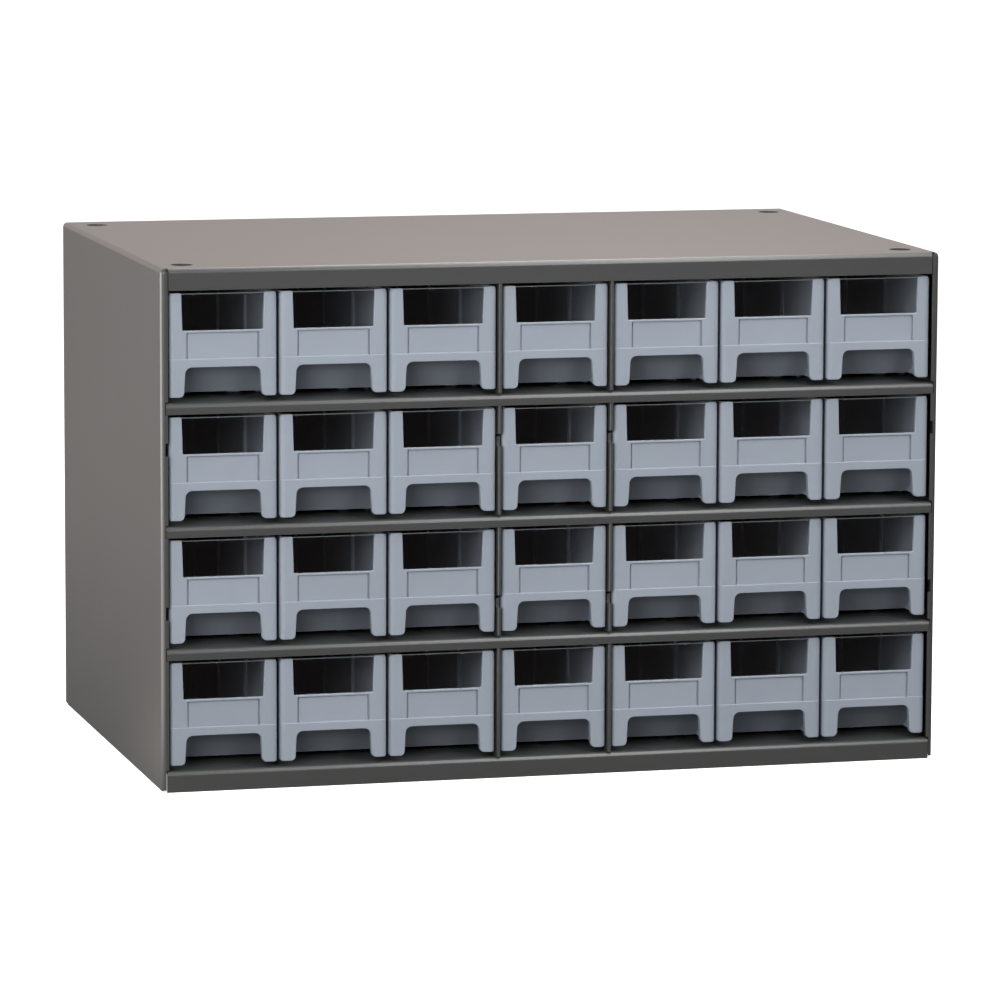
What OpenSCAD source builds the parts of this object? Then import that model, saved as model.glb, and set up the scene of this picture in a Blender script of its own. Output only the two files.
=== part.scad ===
// Parts bin cabinet: a folded sheet steel case with four rows of seven small
// plastic drawers, each with a clear window slid into its front.
// Millimetres, +Z up, +X to the right, the drawers open towards -Y.
// The origin is the middle of the case's footprint, on the surface it stands on.

/* [Case] */
// Outside width of the case
cab_w = 431.8; // [400:1:480]
// Outside depth of the case, front flanges to back flanges
cab_d = 279.4; // [200:1:340]
// Outside height of the case
cab_h = 279.4; // [260:1:320]
// Thickness of the sheet steel
sheet_t = 0.9; // [0.7:0.05:1.2]
// Outside radius of the folds in the sheet steel
fold_r = 2.6; // [1.8:0.1:2.7]
// How far the sides stop above the ground
side_lift = 1.3; // [0.5:0.1:3]
// Width of the flange down each side of the front
side_flange_w = 3.8; // [3.8:0.1:6]
// Height of the relief notches over the upright flanges, at the top corners
corner_notch_h = 1.1; // [0.4:0.1:2]
// Height of the flange under the top's front edge
top_flange_h = 11.6; // [6:0.1:14]
// Width of the flanges around the back
rear_flange_w = 8; // [6:0.5:14]
// Height of the base, from the ground to the lowest shelf
base_h = 11.2; // [8:0.1:14]
// Clearance between the ends of two flanges
flange_gap = 0.4; // [0.2:0.1:0.6]

/* [Stacking holes] */
// Diameter of the four holes in the top
stack_hole_d = 12; // [8:0.5:14]
// Distance of the holes from the sides
stack_inset_x = 15.7; // [12:0.1:24]
// Distance of the front holes from the front
stack_inset_front = 20.8; // [15:0.1:30]
// Distance of the rear holes from the back
stack_inset_rear = 23; // [15:0.1:30]

/* [Shelves and dividers] */
// Height of a shelf's front flange
shelf_flange_h = 5.9; // [4:0.1:7]
// Height of the flanges that join a shelf to the sides
shelf_side_flange_h = 8; // [5:0.5:12]
// Width of the hemmed front edge of a divider
hem_w = 2; // [1.8:0.1:3]
// Depth of the hem behind the front
hem_d = 8; // [6.5:0.5:14]
// Depth of the notches in the hem
hem_notch_d = 4; // [3:0.5:6]
// Depth that a shelf's flange is let into the side flanges
notch_d = 1.5; // [1:0.1:2]
// Height that a notch stands open above its shelf
notch_over = 0.9; // [0.5:0.1:1.5]
// Clearance around a sheet that passes through a slot
slot_fit = 0.15; // [0.1:0.05:0.25]
// Distance of the pressed dimples from the front
dimple_y = 33; // [20:1:60]
// Distance of the middle dimple to the right of the middle
dimple_x = 3.5; // [-8:0.5:8]
// Distance of the outer dimples from the middle one
dimple_pitch = 70.5; // [60:0.5:80]
// Depth of a dimple
dimple_depth = 1.1; // [0.8:0.1:1.4]
// Radius of the ball that presses a dimple
dimple_ball_r = 9; // [7:0.5:14]

/* [Drawers] */
// Depth of the drawer fronts behind the case's front
front_setback = 1.5; // [0.5:0.1:4]
// Gap between a drawer front and the edge of its bay
front_side_gap = 0.75; // [0.5:0.05:1.2]
// Gap over a drawer front
front_top_gap = 1.65; // [1:0.05:2]
// Gap under a drawer front
front_bottom_gap = 2.9; // [2.2:0.1:4]
// Clearance between a drawer's tub and the edge of its bay
tub_side_gap = 1.3; // [1:0.1:2.5]
// Clearance between the drawers and the back
tub_rear_gap = 0.4; // [0.2:0.1:2]
// Thickness of the tub's walls
wall_t = 1.5; // [1.2:0.1:1.8]
// Thickness of the tub's floor
floor_t = 1.5; // [1.2:0.1:2]
// Height of the runners under the tub
runner_h = 2.6; // [2:0.1:3.5]
// Width of each middle runner
mid_runner_w = 6.5; // [4:0.5:10]
// Distance of each middle runner from the middle of the drawer
mid_runner_x = 14.3; // [8:0.1:18]
// Width of each side runner
side_runner_w = 2.4; // [2:0.1:4]
// Distance of the runners behind the foot of the finger recess
runner_setback = 13; // [2:1:60]
// Running clearance between the runners and the shelf
runner_gap = 0.1; // [0.05:0.05:0.3]
// Outside radius of the tub's rear corners
tub_corner_r = 3; // [2.5:0.5:8]
// Height of the stop on the rear wall
stop_h = 3; // [2.6:0.1:3.4]
// Width of the stop on the rear wall
stop_w = 22; // [10:1:30]
// Gap left between the stop and the flange when a drawer is fully out
stop_gap = 0.5; // [0.3:0.1:2]

/* [Drawer fronts] */
// Thickness of a front
front_t = 3.3; // [3:0.1:4]
// How far the lower band stands out from the front's upper part
band_step = 0.5; // [0.3:0.1:0.8]
// Radius of the front's upright outer edges
front_edge_r = 2.5; // [1.5:0.1:2.6]
// Radius of the front's top corners
top_corner_r = 2.2; // [1:0.1:3]
// Radius of the outer corners of the legs
leg_corner_r = 1.4; // [0.5:0.1:2]
// Height of the window
window_h = 19.9; // [14:0.1:24]
// Width of the window at the top
window_top_w = 44.7; // [36:0.1:47]
// Width of the window at the bottom
window_bottom_w = 43.5; // [34:0.1:46]
// Height of the label panel under the window
label_h = 14.9; // [10:0.1:18]
// Width of the recess for the label
label_recess_w = 39.4; // [30:0.1:43]
// Depth of the recess for the label
label_recess_d = 0.8; // [0.5:0.1:1.1]
// Height of the ledge left over the label recess
label_ledge = 1.2; // [0.8:0.1:3]
// Width of the slots that hold a label's ends
label_slot_w = 0.9; // [0.5:0.1:1.5]
// Depth of the slots behind the recess
label_slot_d = 0.6; // [0.3:0.1:0.8]
// Height of the rail under the label panel
rail_h = 4.6; // [3:0.1:7]
// Width of the finger arch at the bottom
arch_w = 42; // [32:0.1:44]
// Width of the finger arch at the top
arch_top_w = 40.4; // [30:0.1:43]
// Radius of the arch's top corners
arch_r = 3.6; // [2:0.1:6]
// Radius of the inner corners of the legs
leg_inner_r = 2.6; // [1:0.1:4]
// Depth of the finger recess behind the front
recess_d = 24.5; // [18:0.5:32]
// Depth of the level roof of the finger recess
recess_roof_d = 10; // [4:0.5:14]

/* [Clear windows] */
// Thickness of a clear window
pane_t = 1; // [0.8:0.1:1.1]
// Depth of the groove that holds a window's edges
groove_d = 1.4; // [1:0.1:2]
// Clearance of a window in its groove
pane_fit = 0.1; // [0.05:0.05:0.15]
// Distance of a window's top edge below the front's top
pane_drop = 0.3; // [0.1:0.1:1]

/* [Cross divider ribs] */
// Height of the ribs that hold a cross divider
rib_h = 46; // [30:1:50]
// How far a rib stands out from the wall
rib_out = 1.1; // [0.8:0.1:2]
// Thickness of a rib
rib_t = 1; // [0.8:0.1:1.5]
// Gap between the two ribs of a pair
rib_gap = 1.8; // [1.2:0.1:2.5]

/* [Hidden] */
$fn = 48;
rows = 4;
cols = 7;
eps = 0.5;                                          // overlap of cuts and joined solids
arc_steps = 7;                                      // chords in a round corner of the arch
divider_after = [3, 4];                             // bays to the left of each divider
spare_rows = 3;                                     // the notches also suit three rows
shelf_edge = side_flange_w - notch_d + flange_gap;  // end of a shelf's front flange
bay_w = (cab_w - 2 * side_flange_w - len(divider_after) * hem_w) / cols;
back_y = cab_d - 2 * sheet_t;                       // inner face of the back
front_w = bay_w - 2 * front_side_gap;
tub_w = bay_w - 2 * tub_side_gap;
drawer_l = back_y - front_setback - tub_rear_gap;

function opening_h(n) = (cab_h - base_h - top_flange_h - (n - 1) * shelf_flange_h) / n;
function shelf_z(n, k) = base_h + k * (opening_h(n) + shelf_flange_h);
row_h = opening_h(rows);
front_h = row_h - front_top_gap - front_bottom_gap;
arch_h = front_h - window_h - label_h - rail_h;
tub_h = front_bottom_gap + front_h;                 // top of the tub's walls over the shelf
floor_z = runner_gap + runner_h;                    // underside of the tub's floor

// Left edge of a bay, with the columns counted from 1
function bay_x(col) = side_flange_w + (col - 1) * bay_w
    + hem_w * len([for (after = divider_after) if (col > after) after]);
function divider_x(i) = side_flange_w + divider_after[i] * bay_w + (i + 0.5) * hem_w;
// Height of the shelf under a row, with the rows counted from 1 at the top
function row_z(row) = shelf_z(rows, rows - row);
function drawer_name(row, col) = str("drawer_r", row, "_c", col);
function window_name(row, col) = str("window_r", row, "_c", col);

CASE_NODES = ["case_wrap", "back_and_base", "shelves", "dividers"];

paint = [0.50, 0.49, 0.46];
drawer_grey = [0.65, 0.69, 0.74];
clear = [0.55, 0.58, 0.60, 0.35];

// ---------------------------------------------------------------- sheet metal

// A quarter of a ring, from the fold's corner at the origin into +X and +Y
module fold_2d(r = fold_r) {
    intersection() {
        square(r);
        translate([r, r]) difference() {
            circle(r);
            circle(r - sheet_t);
        }
    }
}

// A channel: a web along X with a lip up at each end
module channel_2d(web, near_lip, far_lip) {
    translate([fold_r, 0]) square([web - 2 * fold_r, sheet_t]);
    fold_2d();
    translate([0, fold_r]) square([sheet_t, near_lip - fold_r]);
    translate([web, 0]) mirror([1, 0]) {
        fold_2d();
        translate([0, fold_r]) square([sheet_t, far_lip - fold_r]);
    }
}

// Carries an outline drawn as (distance from the front, height) along X
module along_x(length) {
    rotate([90, 0, 90]) linear_extrude(length) children();
}

// Carries an outline drawn as (X, height) along Y
module along_y(length) {
    translate([0, length, 0]) rotate([90, 0, 0]) linear_extrude(length) children();
}

// Space that a shelf's front needs through an upright sheet
module shelf_notch(shelf_top, x0, x1, depth) {
    translate([x0, -eps, shelf_top - shelf_flange_h - slot_fit])
        cube([x1 - x0, depth + eps, shelf_flange_h + slot_fit + notch_over]);
}

// Heights of the shelves that the notches are for, of this case and of the sparer one
function notch_tops() = concat(
    [for (k = [1:rows - 1]) shelf_z(rows, k)],
    [for (k = [1:spare_rows - 1]) shelf_z(spare_rows, k)]);

// One side of the case, with its front and back flanges
module case_side() {
    difference() {
        translate([0, 0, side_lift]) linear_extrude(cab_h - side_lift - fold_r)
            mirror([1, 0]) rotate(90) channel_2d(cab_d, side_flange_w, rear_flange_w);
        for (top = notch_tops())
            shelf_notch(top, side_flange_w - notch_d, side_flange_w + eps, fold_r + eps);
        translate([side_flange_w - notch_d, -eps, -eps])
            cube([notch_d + eps, fold_r + 2 * eps, base_h + notch_over + eps]);
    }
}

// Closes a top corner, drawn from the corner's foot at the ends of the bends:
// the ball corner where three bends meet, and the end of the flange beside it
module top_corner(flange_w) {
    intersection() {
        cube(fold_r);
        translate([fold_r, fold_r, 0]) difference() {
            sphere(fold_r);
            sphere(fold_r - sheet_t);
        }
    }
    translate([fold_r, 0, -eps])
        cube([flange_w - fold_r, sheet_t, fold_r - corner_notch_h + eps]);
}

// Folded top and sides, with flanges around the front and the back
module case_wrap() {
    top_end = side_flange_w + flange_gap;
    back_end = rear_flange_w + flange_gap;
    color(paint) {
        case_side();
        translate([cab_w, 0, 0]) mirror([1, 0, 0]) case_side();
        difference() {
            translate([fold_r, 0, cab_h]) mirror([0, 0, 1]) along_x(cab_w - 2 * fold_r)
                channel_2d(cab_d, top_flange_h, rear_flange_w);
            for (side = [0, 1]) translate([side * cab_w, 0, 0]) mirror([side, 0, 0]) {
                translate([0, -eps, cab_h - top_flange_h - eps])
                    cube([top_end, fold_r + eps, top_flange_h + 2 * eps]);
                translate([0, cab_d - fold_r, cab_h - rear_flange_w - eps])
                    cube([back_end, fold_r + eps, rear_flange_w + 2 * eps]);
                for (y = [stack_inset_front, cab_d - stack_inset_rear])
                    translate([stack_inset_x, y, cab_h - 2 * sheet_t])
                        cylinder(d = stack_hole_d, h = 3 * sheet_t);
            }
        }
        for (side = [0, 1]) translate([side * cab_w, 0, 0]) mirror([side, 0, 0]) {
            translate([0, fold_r, cab_h]) mirror([0, 0, 1]) along_y(cab_d - 2 * fold_r) fold_2d();
            translate([0, 0, cab_h - fold_r]) top_corner(side_flange_w);
            translate([0, cab_d, cab_h - fold_r]) mirror([0, 1, 0]) top_corner(rear_flange_w);
        }
    }
}

// A spherical dimple under a shelf at z = 0: the metal it adds, or the hollow it cuts
module dimple(r) {
    translate([0, 0, dimple_ball_r - dimple_depth]) sphere(r);
}

module at_dimples() {
    for (i = [-1, 0, 1]) translate([cab_w / 2 + dimple_x + i * dimple_pitch, dimple_y, 0])
        children();
}

// A shelf with its front flange folded down, its upper face at z = 0
module shelf_plate(front_drop, side_drop) {
    difference() {
        union() {
            translate([shelf_edge, 0, 0]) mirror([0, 0, 1]) along_x(cab_w - 2 * shelf_edge) {
                fold_2d();
                translate([0, fold_r]) square([sheet_t, front_drop - fold_r]);
                translate([fold_r, 0]) square([2 * fold_r, sheet_t]);
            }
            translate([sheet_t + fold_r, 2 * fold_r, -sheet_t])
                cube([cab_w - 2 * (sheet_t + fold_r), back_y - 2 * fold_r, sheet_t]);
            for (side = [0, 1])
                translate([side * cab_w, 2 * fold_r, 0]) mirror([side, 0, 0])
                    translate([sheet_t, 0, 0]) mirror([0, 0, 1])
                        along_y(back_y - 2 * fold_r) {
                            fold_2d();
                            translate([0, fold_r]) square([sheet_t, side_drop - fold_r]);
                        }
            at_dimples() intersection() {
                dimple(dimple_ball_r + sheet_t);
                translate([0, 0, -dimple_ball_r]) cylinder(r = dimple_ball_r, h = dimple_ball_r);
            }
        }
        at_dimples() dimple(dimple_ball_r);
    }
}

// The back, folded from the base on which the lowest row of drawers runs.
// Its flat sheet stops short of the case's folds and lies on the rear flanges.
module back_and_base() {
    back_top = cab_h - fold_r;
    color(paint) {
        translate([0, 0, base_h]) difference() {
            shelf_plate(base_h, base_h);
            translate([-eps, back_y + sheet_t - fold_r, -base_h - eps])
                cube([cab_w + 2 * eps, cab_d, base_h + 2 * eps]);
        }
        translate([fold_r, 0, base_h - sheet_t]) along_x(cab_w - 2 * fold_r)
            translate([back_y + sheet_t, 0]) mirror([1, 0]) {
                fold_2d();
                translate([0, fold_r]) square([sheet_t, back_top - base_h + sheet_t - fold_r]);
            }
    }
}

module shelves() {
    color(paint)
        for (k = [1:rows - 1]) translate([0, 0, shelf_z(rows, k)]) difference() {
            shelf_plate(shelf_flange_h, shelf_side_flange_h);
            for (i = [0:len(divider_after) - 1])
                translate([divider_x(i) - sheet_t / 2 - slot_fit, cab_d / 2 - slot_fit,
                           -2 * sheet_t])
                    cube([sheet_t + 2 * slot_fit, cab_d, 3 * sheet_t]);
        }
}

// An upright divider with a hemmed front edge, slotted from the front for the shelves
module divider() {
    top = cab_h - sheet_t;
    difference() {
        union() {
            translate([-sheet_t / 2, 0, base_h])
                cube([sheet_t, back_y, top - base_h]);
            translate([0, 0, base_h]) linear_extrude(top - base_h) {
                translate([0, hem_w / 2]) circle(d = hem_w);
                translate([-hem_w / 2, hem_w / 2]) square([hem_w, hem_d - hem_w / 2]);
            }
        }
        for (shelf_top = notch_tops()) {
            shelf_notch(shelf_top, -hem_w, hem_w, hem_notch_d);
            translate([-hem_w, 0, shelf_top - sheet_t - slot_fit])
                cube([2 * hem_w, cab_d / 2 + slot_fit, sheet_t + 2 * slot_fit]);
        }
        translate([-hem_w, -eps, cab_h - top_flange_h - slot_fit])
            cube([2 * hem_w, fold_r + eps, top_flange_h]);
    }
}

module dividers() {
    color(paint)
        for (i = [0:len(divider_after) - 1]) translate([divider_x(i), 0, 0]) divider();
}

// ------------------------------------------------------------- drawer fronts

// What a round corner of radius r takes off a square corner at the origin
module corner_2d(r) {
    difference() {
        square(r);
        translate([r, r]) circle(r);
    }
}

// Outline of a front in elevation, its lower edge at height 0
module front_outline_2d() {
    difference() {
        translate([-front_w / 2, 0]) square([front_w, front_h]);
        for (side = [0, 1]) mirror([side, 0]) {
            translate([-front_w / 2, 0]) corner_2d(leg_corner_r);
            translate([-front_w / 2, front_h]) mirror([0, 1]) corner_2d(top_corner_r);
        }
    }
}

// Points of an arc around c, from one angle to another
function arc(c, r, from, to) =
    [for (k = [0:arc_steps]) let (a = from + (to - from) * k / arc_steps)
        c + r * [cos(a), sin(a)]];
function mirrored(points) = [for (k = [len(points) - 1:-1:0]) [-points[k][0], points[k][1]]];

// Finger arch: sides that lean in, round top corners and round feet on the legs
module arch_2d() {
    lean = atan((arch_w - arch_top_w) / 2 / arch_h);
    cz = arch_h - arch_r;
    cx = arch_w / 2 - (arch_r + cz * sin(lean)) / cos(lean);
    leg_x = arch_w / 2 + leg_inner_r * (1 - sin(lean)) / cos(lean);
    right = concat([[leg_x, -eps]], arc([leg_x, leg_inner_r], leg_inner_r, 270, 180 + lean),
                   arc([cx, cz], arch_r, lean, 90));
    polygon(concat(right, mirrored(right)));
}

module window_2d() {
    bottom = front_h - window_h;
    spread = (window_top_w - window_bottom_w) / 2 / window_h * eps;
    polygon([[-window_bottom_w / 2, bottom], [window_bottom_w / 2, bottom],
             [window_top_w / 2 + spread, front_h + eps],
             [-window_top_w / 2 - spread, front_h + eps]]);
}

// Plan of a front: its two upright outer edges are round
module front_plan_2d(depth) {
    difference() {
        translate([-front_w / 2, 0]) square([front_w, depth]);
        for (side = [0, 1]) mirror([side, 0])
            translate([-front_w / 2, 0]) corner_2d(front_edge_r);
    }
}

module drawer_front() {
    band_top = arch_h + rail_h;
    label_top = band_top + label_h;
    pane_y = band_step + (front_t - band_step) / 2;
    difference() {
        intersection() {
            union() {
                linear_extrude(band_top) front_plan_2d(front_t);
                translate([0, band_step, 0]) linear_extrude(front_h)
                    front_plan_2d(front_t - band_step);
            }
            translate([0, -eps, 0]) along_y(front_t + 2 * eps) difference() {
                front_outline_2d();
                arch_2d();
                window_2d();
            }
        }
        translate([-label_recess_w / 2, 0, band_top])
            cube([label_recess_w, band_step + label_recess_d, label_h - label_ledge]);
        for (side = [0, 1]) mirror([side, 0, 0])
            translate([label_recess_w / 2 - label_slot_w, 0, band_top])
                cube([label_slot_w, band_step + label_recess_d + label_slot_d,
                      label_h - label_ledge]);
        translate([-window_top_w / 2 - groove_d, pane_y - pane_t / 2 - pane_fit,
                   label_top - groove_d])
            cube([window_top_w + 2 * groove_d, pane_t + 2 * pane_fit, window_h + groove_d + eps]);
    }
}

// --------------------------------------------------------------- drawer tubs

// Plan of the tub, from behind the front to the rear, with round rear corners
module tub_plan_2d(inset) {
    r = tub_corner_r - inset;
    start = front_t - eps;
    w = tub_w - 2 * inset;
    difference() {
        translate([-w / 2, start]) square([w, drawer_l - inset - start]);
        for (side = [0, 1]) mirror([side, 0])
            translate([-w / 2, drawer_l - inset]) mirror([0, 1]) corner_2d(r);
    }
}

// Inner front wall over the finger recess, as (distance from the front, height):
// a level roof behind the arch's top, then a slope down to the floor
module slope_2d() {
    roof_z = front_bottom_gap + arch_h;
    start = front_t / 2;
    bend = [start + recess_roof_d, roof_z];
    foot = [start + recess_d, floor_z];
    slant = norm(foot - bend);
    out = [roof_z - floor_z, recess_d - recess_roof_d] * wall_t / slant; // across the slope's wall
    half = atan2(roof_z - floor_z, recess_d - recess_roof_d) / 2;
    inner_bend = bend + wall_t * [tan(half), 1];
    inner_foot = foot + out + (floor_t - out[1]) * [foot[0] - bend[0], floor_z - roof_z]
        / (floor_z - roof_z);
    polygon([[start, roof_z], bend, foot, foot + [2 * wall_t, 0], foot + [2 * wall_t, floor_t],
             inner_foot, inner_bend, [start, roof_z + wall_t]]);
}

module tub() {
    recess_end = front_t / 2 + recess_d;
    translate([0, 0, floor_z]) linear_extrude(tub_h - floor_z) difference() {
        tub_plan_2d(0);
        tub_plan_2d(wall_t);
        translate([-tub_w / 2 + wall_t, 0]) square([tub_w - 2 * wall_t, recess_end]);
    }
    intersection() {
        translate([0, 0, floor_z]) linear_extrude(floor_t) tub_plan_2d(0);
        translate([-tub_w, recess_end, 0]) cube([2 * tub_w, drawer_l, tub_h]);
    }
    translate([-tub_w / 2 + wall_t / 2, 0, 0]) along_x(tub_w - wall_t) slope_2d();
    translate([-stop_w / 2, drawer_l - wall_t, tub_h - eps])
        cube([stop_w, wall_t, stop_h + eps]);
}

module runners() {
    start = front_t / 2 + recess_d + runner_setback;
    length = drawer_l - tub_corner_r - start;
    for (side = [0, 1]) mirror([side, 0, 0]) translate([0, start, runner_gap]) {
        translate([mid_runner_x - mid_runner_w / 2, 0, 0])
            cube([mid_runner_w, length, runner_h + eps]);
        translate([tub_w / 2 - side_runner_w, 0, 0])
            cube([side_runner_w, length, runner_h + eps]);
    }
}

// Pairs of upright ribs at the quarter points of both walls
module ribs() {
    for (side = [0, 1]) mirror([side, 0, 0])
        for (k = [1:3])
            for (y = [-rib_gap / 2 - rib_t, rib_gap / 2])
                translate([-tub_w / 2 + wall_t / 2, k * drawer_l / 4 + y, floor_z + floor_t / 2])
                    cube([wall_t / 2 + rib_out, rib_t, rib_h]);
}

// Puts a drawer's own frame, middle of the front's foot at the shelf, in its bay
module in_bay(row, col) {
    translate([bay_x(col) + bay_w / 2, front_setback, row_z(row)]) children();
}

module drawer(row, col) {
    color(drawer_grey) in_bay(row, col) {
        translate([0, 0, front_bottom_gap]) drawer_front();
        tub();
        runners();
        ribs();
    }
}

// Clear window, held in grooves down the pillars and along the label panel
module window(row, col) {
    w = window_top_w + 2 * groove_d - 2 * pane_fit;
    pane_y = band_step + (front_t - band_step) / 2;
    bottom = tub_h - window_h - groove_d;
    color(clear) in_bay(row, col)
        translate([-w / 2, pane_y - pane_t / 2, bottom])
            cube([w, pane_t, tub_h - pane_drop - bottom]);
}

// ------------------------------------------------------------------ assembly

// Moves the case's left front corner to its place around the origin
module placed() {
    translate([-cab_w / 2, -cab_d / 2, 0]) children();
}

placed() case_wrap();
placed() back_and_base();
placed() shelves();
placed() dividers();
for (row = [1:rows]) for (col = [1:cols]) {
    placed() drawer(row, col);
    placed() window(row, col);
}
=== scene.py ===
"""Looks of the parts bin cabinet: enamelled steel case, moulded drawers, clear windows.

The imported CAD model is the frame. The case's folded sheets stay as CAD nodes and get fine edges
and paint. Each drawer and each window is a new surface, worked out with numpy, that replaces its
CAD node at the same place. Lengths are in millimetres until a mesh is made.
"""

import logging
import math
from dataclasses import dataclass
from enum import Enum

import bmesh
import bpy
import numpy as np
from mathutils import Matrix, Vector


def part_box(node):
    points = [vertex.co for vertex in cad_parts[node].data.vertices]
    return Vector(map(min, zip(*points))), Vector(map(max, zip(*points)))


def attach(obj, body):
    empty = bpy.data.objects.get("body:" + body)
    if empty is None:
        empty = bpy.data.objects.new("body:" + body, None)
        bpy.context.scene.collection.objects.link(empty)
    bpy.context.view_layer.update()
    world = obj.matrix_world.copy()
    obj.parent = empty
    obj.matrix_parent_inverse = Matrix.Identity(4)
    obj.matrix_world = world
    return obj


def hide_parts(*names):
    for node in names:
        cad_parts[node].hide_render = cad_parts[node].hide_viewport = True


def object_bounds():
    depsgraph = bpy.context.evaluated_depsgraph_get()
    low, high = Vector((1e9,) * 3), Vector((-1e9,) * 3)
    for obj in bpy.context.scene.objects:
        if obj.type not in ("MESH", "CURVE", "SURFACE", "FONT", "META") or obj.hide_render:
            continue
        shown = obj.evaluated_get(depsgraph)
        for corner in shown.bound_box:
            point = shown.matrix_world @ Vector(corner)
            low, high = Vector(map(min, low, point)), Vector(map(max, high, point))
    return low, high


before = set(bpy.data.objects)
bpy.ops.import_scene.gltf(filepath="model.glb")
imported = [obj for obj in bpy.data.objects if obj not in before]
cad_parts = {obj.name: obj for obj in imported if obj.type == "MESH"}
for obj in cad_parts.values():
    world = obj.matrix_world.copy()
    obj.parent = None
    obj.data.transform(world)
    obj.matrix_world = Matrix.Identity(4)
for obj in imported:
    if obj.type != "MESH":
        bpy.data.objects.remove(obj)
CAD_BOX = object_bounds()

log = logging.getLogger("parts_bin_cabinet")
MM = 0.001
ROWS, COLUMNS = 4, 7
BAYS = [f"r{row}_c{column}" for row in range(1, ROWS + 1) for column in range(1, COLUMNS + 1)]
RUNNER_GAP = 0.1  # how far a drawer's runners stay over the shelf
ON_PLANE = 1e-5  # a point this near to a cutting plane lies on it
SHARP = math.radians(40)  # faces that meet at a larger angle keep a sharp edge
MIX_A, MIX_B, MIX_RESULT = 6, 7, 2  # the colour sockets of a Mix node, which share their names

Pair = tuple[float, float]
Triple = tuple[float, float, float]


# ------------------------------------------------------------------- surfaces


class Plane(Enum):
    """The plane an outline is drawn in: the axes across, up and through it."""

    FRONT = (0, 2, 1)
    PLAN = (0, 1, 2)
    SIDE = (1, 2, 0)


@dataclass
class Surface:
    """A mesh in millimetres.

    points is an array of (n, 3), corners the point numbers of all faces one after another, and
    sizes how many corners each face has.
    """

    points: np.ndarray
    corners: np.ndarray
    sizes: np.ndarray

    @staticmethod
    def joined(parts: list["Surface"]) -> "Surface":
        """Puts several surfaces in one.

        Args:
            parts: the surfaces.

        Returns:
            One surface with the point numbers of each part moved past those before it.
        """
        starts = np.cumsum([0] + [len(p.points) for p in parts[:-1]])
        return Surface(
            np.vstack([p.points for p in parts]),
            np.concatenate([p.corners + s for p, s in zip(parts, starts)]),
            np.concatenate([p.sizes for p in parts]),
        )

    @staticmethod
    def of_mesh(mesh: bpy.types.Mesh) -> "Surface":
        """Reads a mesh back into arrays.

        Args:
            mesh: a mesh whose coordinates are millimetres.

        Returns:
            The same points and faces.
        """
        points = np.zeros(len(mesh.vertices) * 3)
        corners = np.zeros(len(mesh.loops), np.int64)
        sizes = np.zeros(len(mesh.polygons), np.int64)
        mesh.vertices.foreach_get("co", points)
        mesh.loops.foreach_get("vertex_index", corners)
        mesh.polygons.foreach_get("loop_total", sizes)
        return Surface(points.reshape(-1, 3), corners, sizes)

    def to_mesh(self, name: str, scale: float = 1.0) -> bpy.types.Mesh:
        """Writes the arrays into a new mesh.

        Args:
            name: the mesh's name.
            scale: what the coordinates are multiplied by.

        Returns:
            The mesh.
        """
        mesh = bpy.data.meshes.new(name)
        mesh.vertices.add(len(self.points))
        mesh.loops.add(len(self.corners))
        mesh.polygons.add(len(self.sizes))
        mesh.vertices.foreach_set("co", (self.points * scale).astype(np.float32).ravel())
        mesh.loops.foreach_set("vertex_index", self.corners.astype(np.int32))
        starts = np.concatenate([[0], np.cumsum(self.sizes)[:-1]])
        mesh.polygons.foreach_set("loop_start", starts.astype(np.int32))
        mesh.update(calc_edges=True)
        mesh.validate()
        return mesh

    def moved(self, by: np.ndarray) -> "Surface":
        """The same surface, moved by a distance in X, Y and Z."""
        return Surface(self.points + by, self.corners, self.sizes)

    def cut_across(self, places: np.ndarray) -> "Surface":
        """Splits the faces along planes across X, so that the surface can bend there.

        Args:
            places: where the planes stand.

        Returns:
            The split surface.
        """
        mesh = self.to_mesh("cut")
        work = bmesh.new()
        work.from_mesh(mesh)
        for x in places:
            everything = [*work.verts, *work.edges, *work.faces]
            bmesh.ops.bisect_plane(
                work, geom=everything, dist=ON_PLANE, plane_co=(x, 0, 0), plane_no=(1, 0, 0)
            )
        work.to_mesh(mesh)
        work.free()
        surface = Surface.of_mesh(mesh)
        bpy.data.meshes.remove(mesh)
        return surface


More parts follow.
